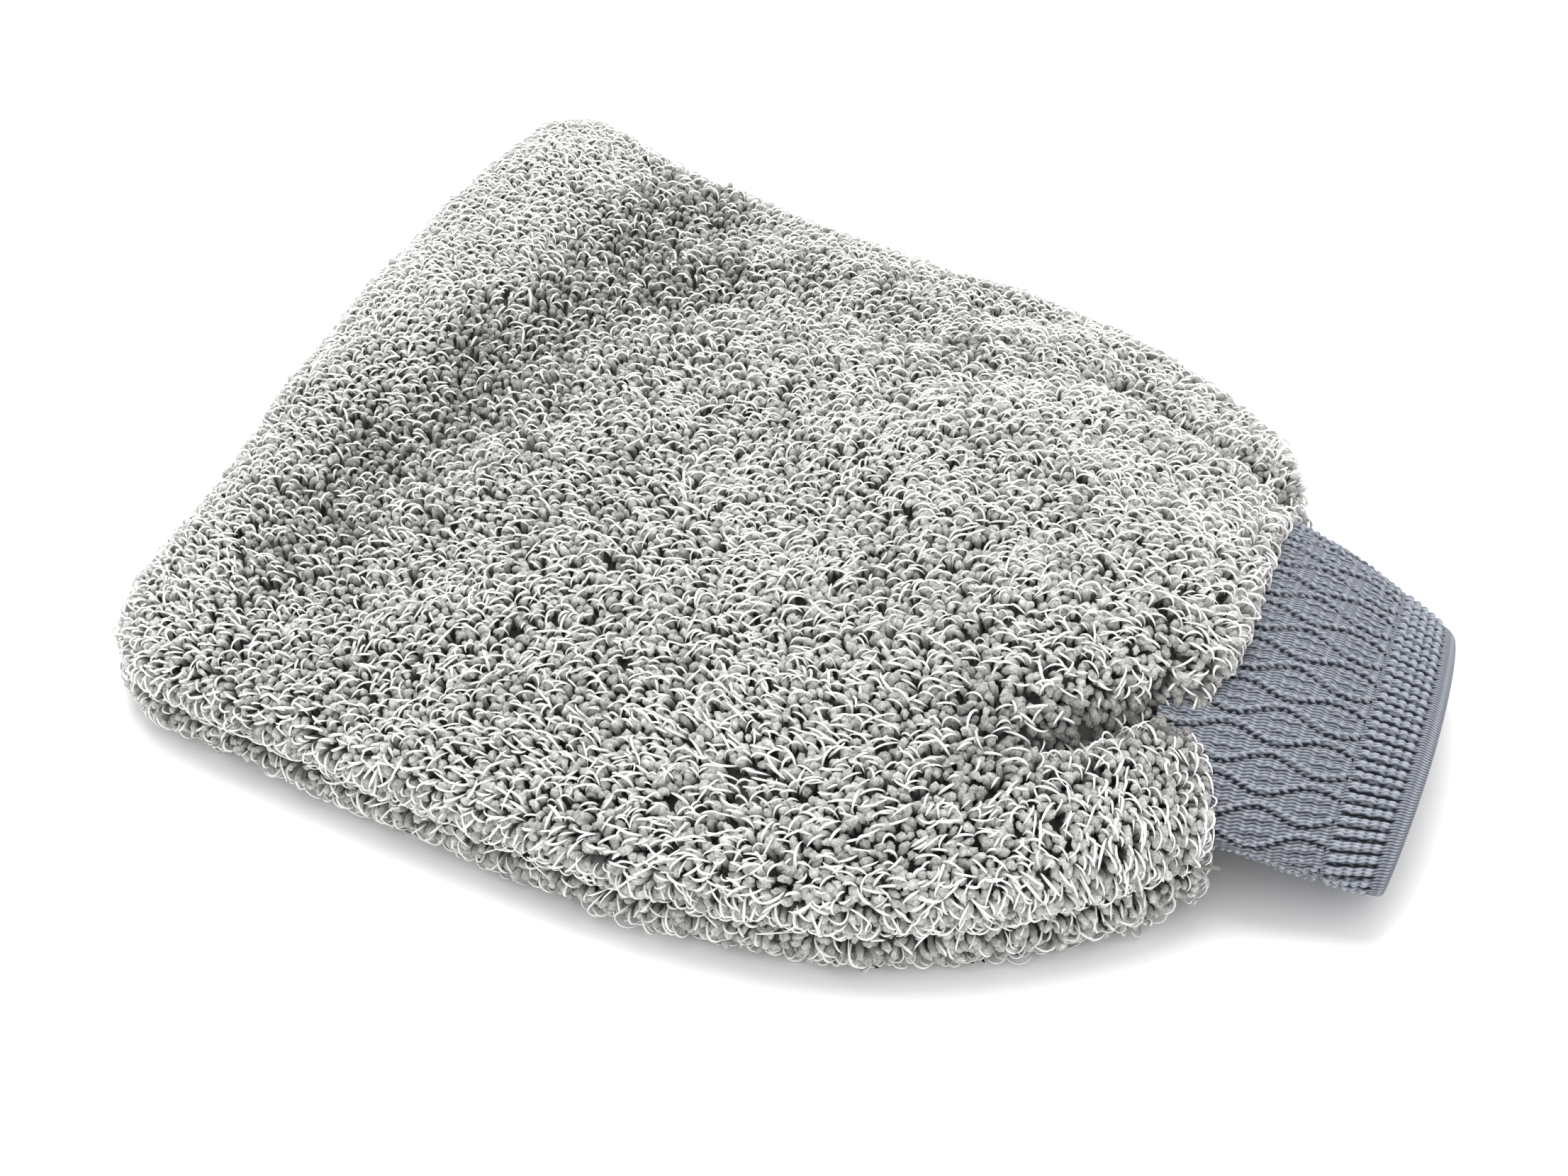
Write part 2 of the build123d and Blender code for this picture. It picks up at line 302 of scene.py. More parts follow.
def sleeve_relief(run, around, pitch):
    """Raised beads on waving lines that part and meet, with a pit beside each, in millimetres."""
    height = np.zeros(around.shape)
    step = np.round(run / COURSE)
    for k in (step - 1, step, step + 1):
        s = k * COURSE
        wave = np.sin(2 * math.pi * s / FIGURE_LENGTH)
        for m in (np.floor(around) + j for j in (-1, 0, 1, 2)):
            sign = np.where(m % 2 == 0, 1.0, -1.0)
            gap = (around - (m + 0.5 + sign * 0.27 * wave)) * pitch
            height += bead(run - s, gap, 0.55, 0.9)
            # Short rows of smaller beads where two lines stand apart.
            wide = np.clip(-sign * wave * 2.5 - 1.0, 0, 1)
            for row in (-0.24, 0.24):
                height += wide * bead(run - s - 0.5, (around - (m + 1 + row)) * pitch, 0.30, 0.36)
    return height


def bead(along, across, rise, pit):
    """One raised bead of knit with a pit beside it."""
    return rise * np.exp(-((along / 0.6) ** 4) - (across / 0.5) ** 4) - pit * np.exp(
        -((along / 0.55) ** 2) - ((across + 0.9) / 0.42) ** 2
    )


def hem_relief(run, around, pitch):
    """Ribs of five beads side by side round the hem, parted by narrow slits."""
    from_start = run - HEM_START - 1.2
    column = np.clip(np.round(from_start / HEM_BEAD), 0, 4)
    row = around - np.round(around)
    inside = np.clip((from_start + 1.1) * 2, 0, 1) * np.clip((8.2 - from_start) * 1.5, 0, 1)
    lump = 0.6 * np.exp(-(((from_start - column * HEM_BEAD) / 0.64) ** 4))
    slit = 0.75 * np.exp(-(((np.abs(row) - 0.5) * pitch / 0.38) ** 2))
    return inside * (lump * np.exp(-((row * pitch / 0.85) ** 4)) - slit)


def no_relief(run, around, pitch):
    """The plain inside of the cuff."""
    return 0 * (run + around)


# ---------------------------------------------------------------- meshes
def new_piece(name, vertices, faces, material):
    """A mesh object from vertices in millimetres and a list of face arrays, one array per face size."""
    mesh = bpy.data.meshes.new(name)
    mesh.vertices.add(len(vertices))
    mesh.vertices.foreach_set("co", (np.asarray(vertices, np.float32) * MM).ravel())
    corners = np.concatenate([np.asarray(f, np.int32).ravel() for f in faces])
    sizes = np.concatenate([np.full(len(f), f.shape[1], np.int32) for f in faces])
    mesh.loops.add(len(corners))
    mesh.loops.foreach_set("vertex_index", corners)
    mesh.polygons.add(len(sizes))
    mesh.polygons.foreach_set("loop_start", np.concatenate([[0], np.cumsum(sizes)[:-1]]).astype(np.int32))
    mesh.update(calc_edges=True)
    mesh.shade_smooth()
    mesh.materials.append(material)
    piece = bpy.data.objects.new(name, mesh)
    scene.collection.objects.link(piece)
    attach(piece, "root")
    return piece


def grid_quads(rows, columns, wrap, start=0):
    """Faces between a grid's vertices, numbered from start; wrap joins the last column to the first."""
    i, j = np.meshgrid(np.arange(rows - 1), np.arange(columns if wrap else columns - 1), indexing="ij")
    k = (j + 1) % columns
    quads = np.stack([i * columns + j, (i + 1) * columns + j, (i + 1) * columns + k, i * columns + k], -1)
    return quads.reshape(-1, 4) + start


def shell_piece(name, outer, inner, material, flip=False):
    """A closed thin sheet between two grids of the same size, joined round their rims."""
    rows, columns = outer.shape[:2]
    count = rows * columns
    top = grid_quads(rows, columns, False)
    bottom = grid_quads(rows, columns, False, count)[:, ::-1]
    index = np.arange(count).reshape(rows, columns)
    rim = np.concatenate([index[0, ::-1], index[1:, 0], index[-1, 1:], index[-2:0:-1, -1]])
    after = np.roll(rim, -1)
    edge = np.stack([rim, after, after + count, rim + count], 1)
    faces = np.vstack([top, bottom, edge])
    if flip:
        faces = faces[:, ::-1]
    return new_piece(name, np.vstack([outer.reshape(-1, 3), inner.reshape(-1, 3)]), [faces], material)


def ring_piece(name, run, depth, columns, relief, lines, material):
    """A closed tube wall with knitted relief: rings along a profile, joined from its last to its first.

    The profile is a run along the cuff and a depth inside it for each ring. Only rings at the outside
    have relief, whose pattern repeats lines times round the tube.
    """
    rings, lengths = cuff_rings(run, depth, columns)
    pitch = lengths[:, None] / lines
    around = np.arange(columns)[None, :] / columns * lines - run[:, None] * WALE_SHEAR / pitch
    height = relief(run[:, None], around, pitch) * (depth[:, None] < 0.5)
    normal = np.cross(np.roll(rings, -1, 1) - np.roll(rings, 1, 1), np.gradient(rings, axis=0) + 1e-9)
    middle = rings.mean(1, keepdims=True)
    outward = rings - middle
    outward[..., 0] = 0
    outward[..., 1] *= 0.3
    normal = unit(np.where((normal * outward).sum(-1, keepdims=True) < 0, -normal, normal))
    rings = rings + normal * height[..., None]
    rings[..., 2] = np.maximum(rings[..., 2], 0.2)
    rows = len(run)
    quads = grid_quads(rows, columns, True)
    last = np.arange(columns) + (rows - 1) * columns
    close = np.stack([last, np.arange(columns), np.roll(np.arange(columns), -1), np.roll(last, -1)], 1)
    faces = np.vstack([quads, close])
    piece = new_piece(name, rings.reshape(-1, 3), [faces], material)
    layer = piece.data.attributes.new("relief", "FLOAT", "POINT")
    layer.data.foreach_set("value", height.astype(np.float32).ravel())
    # Unrolled: u along the profile, and v round the tube, whose last column goes on past the end.
    i = np.concatenate([np.repeat(np.arange(rows - 1), columns), np.full(columns, rows - 1)])
    j = np.tile(np.arange(columns), rows)
    u = np.stack([i, i + 1, i + 1, i], 1)
    v = np.stack([j, j, j + 1, j + 1], 1)
    set_uv(piece, "OFBake", np.stack([u / rows, v / columns], -1))
    u_run = np.append(run, run[0])[u]
    u_pitch = np.append(lengths, lengths[0])[u] / lines
    turned = v / columns * lines - u_run * WALE_SHEAR / u_pitch
    set_uv(piece, "knit", np.stack([u_run, turned * lengths.max() / lines], -1))
    return piece


def set_uv(piece, name, values):
    layer = piece.data.uv_layers.new(name=name)
    layer.data.foreach_set("uv", np.asarray(values, np.float32).ravel())


# ---------------------------------------------------------------- nodes
def add(tree, kind, inputs, **settings):
    """A new node with its settings. Each input, by name or number, is a value or another node's output."""
    node = tree.nodes.new(kind)
    for name, value in settings.items():
        setattr(node, name, value)
    for socket, value in inputs.items():
        if isinstance(value, bpy.types.NodeSocket):
            tree.links.new(value, node.inputs[socket])
        else:
            node.inputs[socket].default_value = value
    return node


# ---------------------------------------------------------------- strands
def bezier(p0, p1, p2, p3, count):
    """Points along many cubic curves at once: (curves, count, 3)."""
    t = np.linspace(0, 1, count)[None, :, None]
    p0, p1, p2, p3 = (p[:, None, :] for p in (p0, p1, p2, p3))
    return (1 - t) ** 3 * p0 + 3 * (1 - t) ** 2 * t * p1 + 3 * (1 - t) * t**2 * p2 + t**3 * p3


def strand_piece(name, centres, side_hint, radii, sides, material, lobe=0.0, twist=0.0, tones=None):
    """Closed tubes along many centre lines at once: centres is (strands, points, 3), in millimetres.

    A tube's section is a circle with two lobes, which turn by twist from one point to the next. The
    vertices' "strand" colour holds the strand's tone, the share along it and a number of its own.
    """
    count, points = centres.shape[:2]
    along = np.gradient(centres, axis=1)
    along /= np.linalg.norm(along, axis=-1, keepdims=True)
    hint = side_hint[:, None, :]
    u = hint - (hint * along).sum(-1, keepdims=True) * along
    u /= np.maximum(np.linalg.norm(u, axis=-1, keepdims=True), 1e-6)
    w = np.cross(along, u)
    angle = np.linspace(0, 2 * math.pi, sides, endpoint=False)
    phase = rng.uniform(0, math.pi, (count, 1, 1)) + twist * np.arange(points)[None, :, None]
    radius = radii[..., None] * (1 + lobe * np.cos(2 * (angle - phase)))
    ring = u[:, :, None] * np.cos(angle)[:, None] + w[:, :, None] * np.sin(angle)[:, None]
    vertices = centres[:, :, None] + ring * radius[..., None]
    vertices[..., 2] = np.maximum(vertices[..., 2], 0.15)
    s, k, j = np.meshgrid(np.arange(count), np.arange(points - 1), np.arange(sides), indexing="ij")
    j2 = (j + 1) % sides
    base = (s * points + k) * sides
    quads = np.stack([base + j, base + j2, base + sides + j2, base + sides + j], -1).reshape(-1, 4)
    first = (np.arange(count) * points * sides)[:, None]
    tip = first + (points - 1) * sides + np.arange(sides)
    root = first + np.arange(sides)[::-1]
    piece = new_piece(name, vertices.reshape(-1, 3), [quads, tip, root], material)
    tones = rng.uniform(0, 1, count) if tones is None else tones
    strand = np.ones((count, points, sides, 4), np.float32)
    strand[..., 0] = tones[:, None, None]
    strand[..., 1] = np.linspace(0, 1, points)[None, :, None]
    strand[..., 2] = rng.uniform(0, 1, (count, 1, 1))
    layer = piece.data.color_attributes.new("strand", "FLOAT_COLOR", "POINT")
    layer.data.foreach_set("color", strand.ravel())
    set_uv(piece, "OFBake", strand_cells(count, points, sides))
    return piece


def strand_cells(count, points, sides):
    """The bake's map of a piece of strands: a cell for each, unrolled, round it in u and along it in v."""
    across = math.ceil(math.sqrt(count))
    cell = np.stack([np.arange(count) % across, np.arange(count) // across], -1) / across
    k, j = np.meshgrid(np.arange(points - 1), np.arange(sides), indexing="ij")
    u_at = np.stack([j, j + 1, j + 1, j], -1).reshape(-1, 4) / sides
    v_at = np.stack([k, k, k + 1, k + 1], -1).reshape(-1, 4) / (points - 1)
    inset = 0.08
    body = cell[:, None, None] + (inset + (1 - 2 * inset) * np.stack([u_at, v_at], -1)) / across
    end_u = cell[:, :1] + (0.1 + 0.8 * np.arange(sides) / sides) / across
    end_v = [np.repeat(cell[:, 1:] + share / across, sides, 1) for share in (1 - inset, inset)]
    tip, root = (np.stack([end_u, v], -1) for v in end_v)
    return np.concatenate([part.reshape(-1, 2) for part in (body, tip, root)])


def scatter(surface, spacing, seed):
    """Evenly spaced random points on a surface, at least spacing apart: places in mm, and normals."""
    tree = bpy.data.node_groups.new("scatter", "GeometryNodeTree")
    tree.interface.new_socket("Geometry", in_out="INPUT", socket_type="NodeSocketGeometry")
    tree.interface.new_socket("Geometry", in_out="OUTPUT", socket_type="NodeSocketGeometry")
    start = add(tree, "NodeGroupInput", {})
    spread = add(tree, "GeometryNodeDistributePointsOnFaces", {
        "Mesh": start.outputs[0], "Distance Min": spacing * MM, "Density Max": 3 / (spacing * MM) ** 2,
        "Seed": seed,
    }, distribute_method="POISSON")
    keep = add(tree, "GeometryNodeStoreNamedAttribute", {
        "Geometry": spread.outputs["Points"], "Name": "facing", "Value": spread.outputs["Normal"],
    }, data_type="FLOAT_VECTOR", domain="POINT")
    points = add(tree, "GeometryNodePointsToVertices", {0: keep.outputs[0]})
    add(tree, "NodeGroupOutput", {0: points.outputs[0]})
    modifier = surface.modifiers.new("scatter", "NODES")
    modifier.node_group = tree
    found = surface.evaluated_get(bpy.context.evaluated_depsgraph_get()).to_mesh()
    places = np.empty(len(found.vertices) * 3, np.float32)
    facing = np.empty(len(found.vertices) * 3, np.float32)
    found.vertices.foreach_get("co", places)
    found.attributes["facing"].data.foreach_get("vector", facing)
    surface.to_mesh_clear()
    return places.reshape(-1, 3) / MM, facing.reshape(-1, 3)


def lean_directions(places, facing, spread):
    """Which way each strand leans: along the mitt's lie, with scatter, flat in the surface."""
    x, y = places[:, 0], places[:, 1]
    flow = 22 * np.sin(x * 0.055 + 0.8) * np.cos(y * 0.048) + 14 * np.sin(y * 0.11 - x * 0.07)
    angle = np.radians(PILE_LIE + flow + rng.normal(0, spread, len(places)))
    angle += np.where(rng.uniform(0, 1, len(places)) < 0.5, math.pi, 0)
    toward = np.stack([np.cos(angle), np.sin(angle), 0 * angle], 1)
    # At the steep edges the pile falls outward and down, and on the near lobe towards the cuff.
    steep = np.clip(1 - np.abs(facing[:, 2:]) * 1.25, 0, 1)
    lobe = np.clip((places[:, :1] - 55) / 40, 0, 1) * np.clip((-places[:, 1:2] + 5) / 30, 0, 1)
    toward = toward * (1 - 0.6 * steep) + np.array([0.0, 0.0, -1.0]) * steep * 0.8
    toward = toward * (1 - 0.8 * lobe) + np.array([0.75, -0.65, -0.2]) * lobe * 0.8
    flat = toward - (toward * facing).sum(-1, keepdims=True) * facing
    return unit(flat)


def tone_and_fold_shade(places):
    """Tone of the pile at each place, below 0 in a fold and up to 1 on a swell: lowered in the folds as
    painted shade.
    """
    x, y = places[:, 0], places[:, 1]
    value = 0.62 + 0.16 * np.sin(x * 0.09 + 1.7 * np.sin(y * 0.045)) * np.sin(y * 0.08 + 0.5)
    value += 0.12 * np.sin(x * 0.31 + y * 0.17)
    value += 0.10 * np.sin(y * 0.37 - x * 0.23 + 1.0)
    # Lowered in the folds and the crease: painted shade in the nubs' colour, and fewer filaments there.
    for line, depth, width in FOLDS:
        value -= min(depth, 4.0) * 0.18 * np.exp(-((distance_to_line(places, line)[0] / (1.25 * width)) ** 2))
    # Lighter towards the finger end, where more filaments grow.
    value += 0.5 * np.clip((-x - 86) / 16, 0, 1)
    return np.clip(value, -0.35, 1)


def shagginess(places):
    """0 at the finger end's far corner to 1 at the wrist's near lobe, where the pile is shaggiest."""
    return np.clip((places[:, 0] * 0.6 - places[:, 1] * 0.4 + 45) / 95, 0, 1)


def tuft_size(places):
    """Size of the tufts at each place, as a factor."""
    return 0.76 + 0.27 * shagginess(places)


PILE_LIE = 30.0     # degrees from +X, to either side of which the pile leans
# Thickness of a strand from its root to its tip.
NUB_PROFILE = np.array([0.55, 0.75, 0.95, 1.05, 1.05, 0.95, 0.5])
FILAMENT_PROFILE = np.array([0.6, 0.95, 1.1, 1.15, 1.1, 0.95, 0.7, 0.3])


def nubs(name, places, facing, material, sides):
    """Twisted loops of pile yarn: each rises from the ground, bends over at the outside and curls down."""
    keep = rng.uniform(0, 1, len(places)) < 1.0 - 0.162 * shagginess(places)
    places, facing = places[keep], facing[keep]
    count = len(places)
    size = tuft_size(places)[:, None]
    lean = lean_directions(places, facing, 60.0)
    side = np.cross(facing, lean)
    length = rng.uniform(0.8, 2.6, (count, 1)) * size
    top = places + facing * rng.normal(-0.1, 0.5, (count, 1))
    root = places - facing * ROOT_DEPTH
    curl = side * rng.normal(0, 0.6, (count, 1)) * size
    centres = bezier(
        root, top + facing * 0.8 - lean * length * 0.3, top + facing * 0.8 + lean * length * 0.7 + curl,
        top - facing * rng.uniform(0.5, 1.6, (count, 1)) + lean * length * 0.9 + curl * 1.2, len(NUB_PROFILE),
    )
    unevenness = (count, len(NUB_PROFILE))
    radii = rng.uniform(0.58, 0.86, (count, 1)) * size * NUB_PROFILE * rng.uniform(0.85, 1.15, unevenness)
    # Each nub's tone takes the painted shade of the folds, with a random spread.
    tones = np.clip(tone_and_fold_shade(places) + rng.normal(0, 0.22, count), -0.4, 1)
    return strand_piece(name, centres, unit(side), radii, sides, material, lobe=0.22, twist=1.3, tones=tones)


def filaments(name, places, facing, material, sides):
    """Pale filaments in flat arcs over the loops; where the pile is shaggy they curl and stand out more."""
    share = (0.35 + 0.8 * np.maximum(tone_and_fold_shade(places), 0.05)) * (1.0 - 0.243 * shagginess(places))
    keep = rng.uniform(0, 1, len(places)) < share
    places, facing = places[keep], facing[keep]
    count = len(places)
    size = tuft_size(places)[:, None]
    shag = shagginess(places)[:, None]
    lean = lean_directions(places, facing, 30.0)
    side = np.cross(facing, lean)
    length = (1.8 + 4.2 * rng.beta(1.6, 2.2, (count, 1))) * size
    rise = rng.uniform(0.2, 0.75, (count, 1)) * (0.6 + 0.3 * length) * (1 + 0.5 * shag)
    free = rng.uniform(0, 1, (count, 1)) < 0.3 + 0.15 * shag
    end_lift = np.where(free, rng.uniform(0.2, 1.4, (count, 1)), rng.uniform(-1.2, 0.2, (count, 1)))
    bend = side * rng.normal(0, 0.8, (count, 1)) * size
    start = places - lean * length * 0.5
    centres = bezier(
        start - facing * 0.9,
        start + facing * (rise + 0.7) + lean * length * 0.15 + bend,
        start + facing * (rise + 0.6) + lean * length * 0.8 + bend,
        start + facing * end_lift + lean * length * 1.05 + side * rng.normal(0, 0.4, (count, 1)),
        len(FILAMENT_PROFILE),
    )
    radii = rng.uniform(0.17, 0.28, (count, 1)) * FILAMENT_PROFILE
    return strand_piece(name, centres, unit(side), radii, sides, material)


# ---------------------------------------------------------------- materials
def new_material(name, roughness, sheen):
    material = bpy.data.materials.new(name)
    material.use_nodes = True
    shader = material.node_tree.nodes["Principled BSDF"]
    shader.inputs["Roughness"].default_value = roughness
    shader.inputs["Sheen Weight"].default_value = sheen
    shader.inputs["Sheen Roughness"].default_value = 0.5
    shader.inputs["Specular IOR Level"].default_value = 0.25
    return material, shader


def mixed(tree, share, first, second):
    """A share of the way from one colour to another, each given or made by a node."""
    mix = add(tree, "ShaderNodeMix", {"Factor": share, "A": first, "B": second}, data_type="RGBA")
    return mix.outputs["Result"]


def bumped(tree, shader, height, strength, distance):
    bump = add(tree, "ShaderNodeBump", {"Strength": strength, "Distance": distance, "Height": height})
    tree.links.new(bump.outputs[0], shader.inputs["Normal"])


def pile_material(name, dark, light, root, sheen, noise_scale):
    """Spun fibre: each strand has its own tone, streaked with fine noise, and a darker root colour as painted
    shade.
    """
    material, shader = new_material(name, 0.92, sheen)
    tree = material.node_tree
    strand = add(tree, "ShaderNodeAttribute", {}, attribute_name="strand")
    split = add(tree, "ShaderNodeSeparateColor", {0: strand.outputs["Color"]})
    place = add(tree, "ShaderNodeTexCoord", {})
    fibre = add(tree, "ShaderNodeTexNoise", {
        "Scale": noise_scale, "Detail": 4, "Roughness": 0.65, "Vector": place.outputs["Object"],
    })
    tone = add(tree, "ShaderNodeMath", {0: split.outputs[0], 1: 0.45, 2: -0.68}, operation="MULTIPLY_ADD")
    streaks = {0: fibre.outputs[0], 1: 1.9, 2: tone.outputs[0]}
    level = add(tree, "ShaderNodeMath", streaks, operation="MULTIPLY_ADD")
    shade = mixed(tree, level.outputs[0], (*dark, 1), (*light, 1))
    # Towards the root the colour goes over to the root colour: painted shade deep in the pile.
    along = add(tree, "ShaderNodeMapRange", {"From Min": 0.25, "From Max": 0.7, "Value": split.outputs[1]})
    tree.links.new(mixed(tree, along.outputs[0], (*root, 1), shade), shader.inputs["Base Color"])
    bumped(tree, shader, fibre.outputs[0], 0.8, 0.0005)
    return material


def cloth_material(name, dark, light, scale):
    """Plain cloth or thread, mottled with fine noise."""
    material, shader = new_material(name, 0.95, 0.1)
    tree = material.node_tree
    place = add(tree, "ShaderNodeTexCoord", {})
    noise = add(tree, "ShaderNodeTexNoise", {"Scale": scale, "Vector": place.outputs["Object"]})
    tree.links.new(mixed(tree, noise.outputs[0], (*dark, 1), (*light, 1)), shader.inputs["Base Color"])
    return material


def knit_material(name, dark, light):
    """Fine knit: columns of short dashes, a brighter course every other column, painted light on beads and
    shade in pits.
    """
    material, shader = new_material(name, 0.85, 0.15)
    tree = material.node_tree
    place = add(tree, "ShaderNodeUVMap", {}, uv_map="knit")
    split = add(tree, "ShaderNodeSeparateXYZ", {0: place.outputs[0]})
    along, round_it = split.outputs[0], split.outputs[1]

    def maths(operation, *values):
        return add(tree, "ShaderNodeMath", dict(enumerate(values)), operation=operation).outputs[0]

    def wave(value, period, shift=0.0):
        return maths("SINE", maths("MULTIPLY_ADD", value, 2 * math.pi / period, shift))

    column = maths("MULTIPLY_ADD", wave(along, COURSE), 0.5, 0.5)
    stagger = maths("MULTIPLY", wave(along, 2 * COURSE), 0.16)
    dash = maths("MULTIPLY_ADD", wave(maths("ADD", round_it, stagger), LOOP), 0.5, 0.5)
    course = maths("POWER", maths("MULTIPLY_ADD", wave(along, 2 * COURSE, 1.0), 0.5, 0.5), 6.0)
    stitch = maths("MULTIPLY", dash, maths("MULTIPLY_ADD", column, 0.35, 0.65))
    noise = add(tree, "ShaderNodeTexNoise", {"Scale": 2.6, "Detail": 3, "Vector": place.outputs[0]})
    relief = add(tree, "ShaderNodeAttribute", {}, attribute_name="relief")
    level = maths("MULTIPLY_ADD", stitch, 0.75, maths("MULTIPLY", course, 0.14))
    level = maths("ADD", level, maths("MULTIPLY_ADD", noise.outputs[0], 0.4, -0.1))
    # Painted light and shade from the relief: raised beads lighter, pits and slits darker.
    relief_light_and_shade = maths("ADD", level, maths("MULTIPLY", relief.outputs["Fac"], 0.85))
    share = add(tree, "ShaderNodeClamp", {0: relief_light_and_shade})
    tree.links.new(mixed(tree, share.outputs[0], (*dark, 1), (*light, 1)), shader.inputs["Base Color"])
    bumped(tree, shader, level, 0.9, 0.00025)
    return material


# The root colours are painted shade deep in the pile.
NUB = pile_material(
    "twisted_nub", dark=(0.17, 0.168, 0.161), light=(0.86, 0.851, 0.82), root=(0.25, 0.247, 0.238), sheen=0.3,
    noise_scale=1700,
)
FILAMENT = pile_material(
    "pale_filament", dark=(0.90, 0.893, 0.875), light=(0.99, 0.985, 0.97), root=(0.85, 0.84, 0.82), sheen=0.2,
    noise_scale=900,
)
GROUND = cloth_material("knitted_ground", (0.10, 0.099, 0.095), (0.20, 0.197, 0.19), 900)
LINING = cloth_material("lining_fabric", (0.22, 0.225, 0.235), (0.34, 0.345, 0.355), 1200)
THREAD = cloth_material("sewing_thread", (0.20, 0.205, 0.215), (0.36, 0.365, 0.375), 2500)
ELASTIC = cloth_material("elastic_yarn", (0.25, 0.25, 0.26), (0.40, 0.40, 0.41), 2500)
KNIT = knit_material("cuff_knit", (0.012, 0.0145, 0.023), (0.365, 0.392, 0.448))

# ---------------------------------------------------------------- body
PATCHES_X, PATCHES_Y = 5, 4     # the pile of each half is split into so many pieces along X and Y
# What grows on each half: kind, spacing in millimetres, sides of its tubes, seed, maker and material.
GROWTH = {
    "back": (("nubs", 1.24, 6, 4, nubs, NUB), ("filaments", 1.38, 4, 9, filaments, FILAMENT)),
    "palm": (("nubs", 1.5, 5, 4, nubs, NUB), ("filaments", 1.9, 3, 9, filaments, FILAMENT)),
}


def cloth_layer(name, upper, depth, thick, material, node):
    """A closed thin layer of cloth lying depth inside the pile's outside, in place of a CAD node."""
    outer = folded(body_half(upper, depth), upper)
    inner = folded(body_half(upper, depth + thick), upper)
    layer = shell_piece(name, outer, inner, material, flip=not upper)
    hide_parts(node)
    return layer


def patch_numbers(places, skin):
    """Which patch of a skin each place lies in."""
    numbers = 0
    for axis, patches in ((0, PATCHES_X), (1, PATCHES_Y)):
        low, high = skin[..., axis].min(), skin[..., axis].max()
        cell = ((places[:, axis] - low) / (high - low) * patches).astype(int)
        numbers = numbers * patches + np.clip(cell, 0, patches - 1)
    return numbers


for half, upper in (("back", True), ("palm", False)):
    skin = folded(body_half(upper), upper)
    skin = grooved(skin, grid_normals(skin, upper))
    ground = cloth_layer(
        f"{half}_ground", upper, GROUND_DEPTH, GROUND_THICK, GROUND, f"{half}_backing",
    )
    lining = cloth_layer(
        f"{half}_lining_cloth", upper, LINING_DEPTH, LINING_THICK, LINING, f"{half}_lining",
    )
    quads = grid_quads(*skin.shape[:2], False)
    guide = new_piece(f"{half}_guide", skin.reshape(-1, 3), [quads if upper else quads[:, ::-1]], GROUND)
    for kind, spacing, sides, seed, make, material in GROWTH[half]:
        places, facing = scatter(guide, spacing, seed)
        guide.modifiers.clear()
        # A few facets face inward where the skin closes at the finger corners: nothing grows on them.
        sound = (places[:, 0] > -100) | (facing[:, 0] < 0.4)
        places, facing = places[sound], facing[sound]
        numbers = patch_numbers(places, skin)
        for number in range(PATCHES_X * PATCHES_Y):
            pick = numbers == number
            if not pick.any():
                continue
            patch = make(f"{half}_{kind}_{number:02d}", places[pick], facing[pick], material, sides)
            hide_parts(f"{half}_pile")
    bpy.data.objects.remove(guide)

# ---------------------------------------------------------------- closing seam
STITCH_PITCH = 6.0
THREAD_RADIUS = 0.3
PITCH_POINTS, STITCH_POINTS = 12, 8     # points along the path for one pitch, of which one stitch takes some

# In the groove between the two halves, round both sides and the finger end.
edge = folded(body_half(True, SEAM_DEPTH), True)
side_rows = slice(FINGER_ROWS, -WRIST_ROWS - 2)
round_three = np.vstack([edge[side_rows, 0][::-1], edge[0, 1:-1], edge[side_rows, -1]])
run = np.linalg.norm(np.diff(round_three, axis=0), axis=1).sum()
stitch_count = int(run / STITCH_PITCH)
fine_path = resampled(round_three, stitch_count * PITCH_POINTS)
stitches = fine_path.reshape(stitch_count, PITCH_POINTS, 3)[:, :STITCH_POINTS]
seam = strand_piece(
    "closing_stitches", stitches, np.tile([0.0, 0.0, 1.0], (stitch_count, 1)),
    np.full((stitch_count, STITCH_POINTS), THREAD_RADIUS), 8, THREAD,
)
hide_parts("closing_seam_thread")

# ---------------------------------------------------------------- cuff
INNER_DEPTH = PLY + PLY_GAP         # of the inner ply's outside
CUFF_THICK = 2 * PLY + PLY_GAP
FOLD_RADIUS = CUFF_THICK / 2


def cuff_piece(name, node, run, depth, columns, relief, lines):
    """One knitted tube of the cuff, in place of a CAD node."""
    piece = ring_piece(name, run, depth, columns, relief, lines, KNIT)
    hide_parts(node)
    return piece


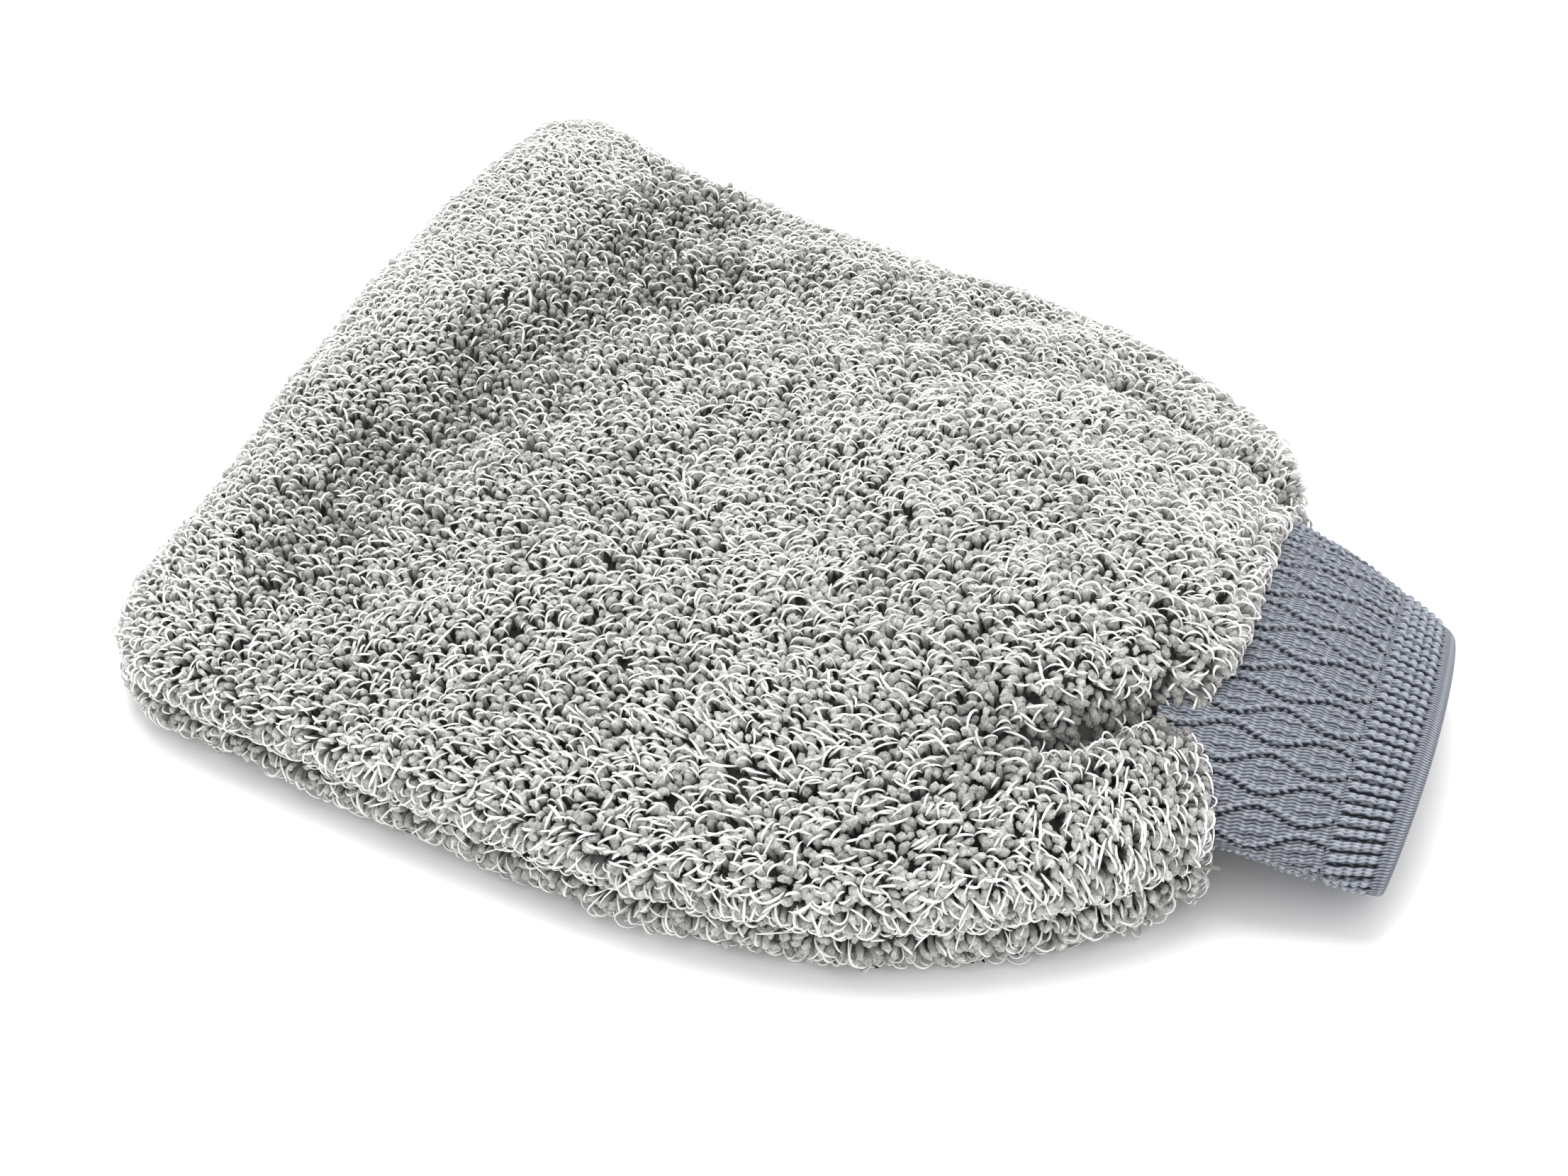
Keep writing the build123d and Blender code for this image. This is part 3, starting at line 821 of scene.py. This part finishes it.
out = np.linspace(0, SLEEVE_END, 125)
back = np.linspace(SLEEVE_END, 0, 9)
sleeve = cuff_piece(
    "cuff_sleeve", "cuff_outer_ply", np.concatenate([out, back]),
    np.concatenate([0 * out, PLY + 0 * back]), 620, sleeve_relief, FIGURE_LINES,
)
out = np.linspace(0, SLEEVE_END, 30)
facing_ply = cuff_piece(
    "cuff_inside", "cuff_inner_ply", np.concatenate([out, out[::-1]]),
    np.concatenate([INNER_DEPTH + 0 * out, CUFF_THICK + 0 * out]), 300, no_relief, FIGURE_LINES,
)
turn = np.linspace(0, math.pi, 9)[1:-1]
out = np.arange(SLEEVE_END, HEM_END - FOLD_RADIUS, 0.25)
back = np.linspace(HEM_END - FOLD_RADIUS, SLEEVE_END, 12)
hem = cuff_piece(
    "cuff_fold", "cuff_hem", np.concatenate([out, HEM_END - FOLD_RADIUS + FOLD_RADIUS * np.sin(turn), back]),
    np.concatenate([0 * out, FOLD_RADIUS - FOLD_RADIUS * np.cos(turn), CUFF_THICK + 0 * back]),
    640, hem_relief, HEM_RIBS,
)

# CAD nodes that stay: only their materials change.
for node, material in (
    ("lining_seam_thread", THREAD), ("wrist_seam_thread", THREAD),
    ("cuff_elastic_yarns", ELASTIC), ("hem_elastic_yarns", ELASTIC),
):
    mesh = bpy.data.objects[node].data
    mesh.materials.clear()
    mesh.materials.append(material)

# ---------------------------------------------------------------- stage, light, camera
bpy.ops.mesh.primitive_plane_add(size=8)
floor = bpy.context.object
floor.name = "floor"
white = bpy.data.materials.new("floor_white")
white.use_nodes = True
white.node_tree.nodes["Principled BSDF"].inputs["Base Color"].default_value = (0.95, 0.95, 0.95, 1)
white.node_tree.nodes["Principled BSDF"].inputs["Roughness"].default_value = 0.9
floor.data.materials.append(white)

scene.view_settings.view_transform = "Standard"
world = bpy.data.worlds.new("studio")
scene.world = world
world.use_nodes = True
world.node_tree.nodes["Background"].inputs["Color"].default_value = (1, 1, 1, 1)
world.node_tree.nodes["Background"].inputs["Strength"].default_value = 1.15

lamp = bpy.data.lights.new("soft_key", "SUN")
lamp.energy = 2.0
lamp.angle = math.radians(35)
key = bpy.data.objects.new("soft_key", lamp)
key.rotation_euler = Vector((-0.2, 0.3, 1.0)).to_track_quat("Z", "Y").to_euler()
scene.collection.objects.link(key)

AZIMUTH, ELEVATION = math.radians(30.5), math.radians(42.0)
TARGET = Vector((0.00125, -0.0161, 0.0193))
DISTANCE = 0.7535
toward_camera = Vector((
    math.sin(AZIMUTH) * math.cos(ELEVATION), -math.cos(AZIMUTH) * math.cos(ELEVATION), math.sin(ELEVATION)
))
camera = bpy.data.objects.new("camera", bpy.data.cameras.new("camera"))
scene.collection.objects.link(camera)
camera.data.lens = 87.2
camera.location = TARGET + toward_camera * DISTANCE
camera.rotation_mode = "QUATERNION"
camera.rotation_quaternion = (-toward_camera).to_track_quat("-Z", "Y")
scene.camera = camera
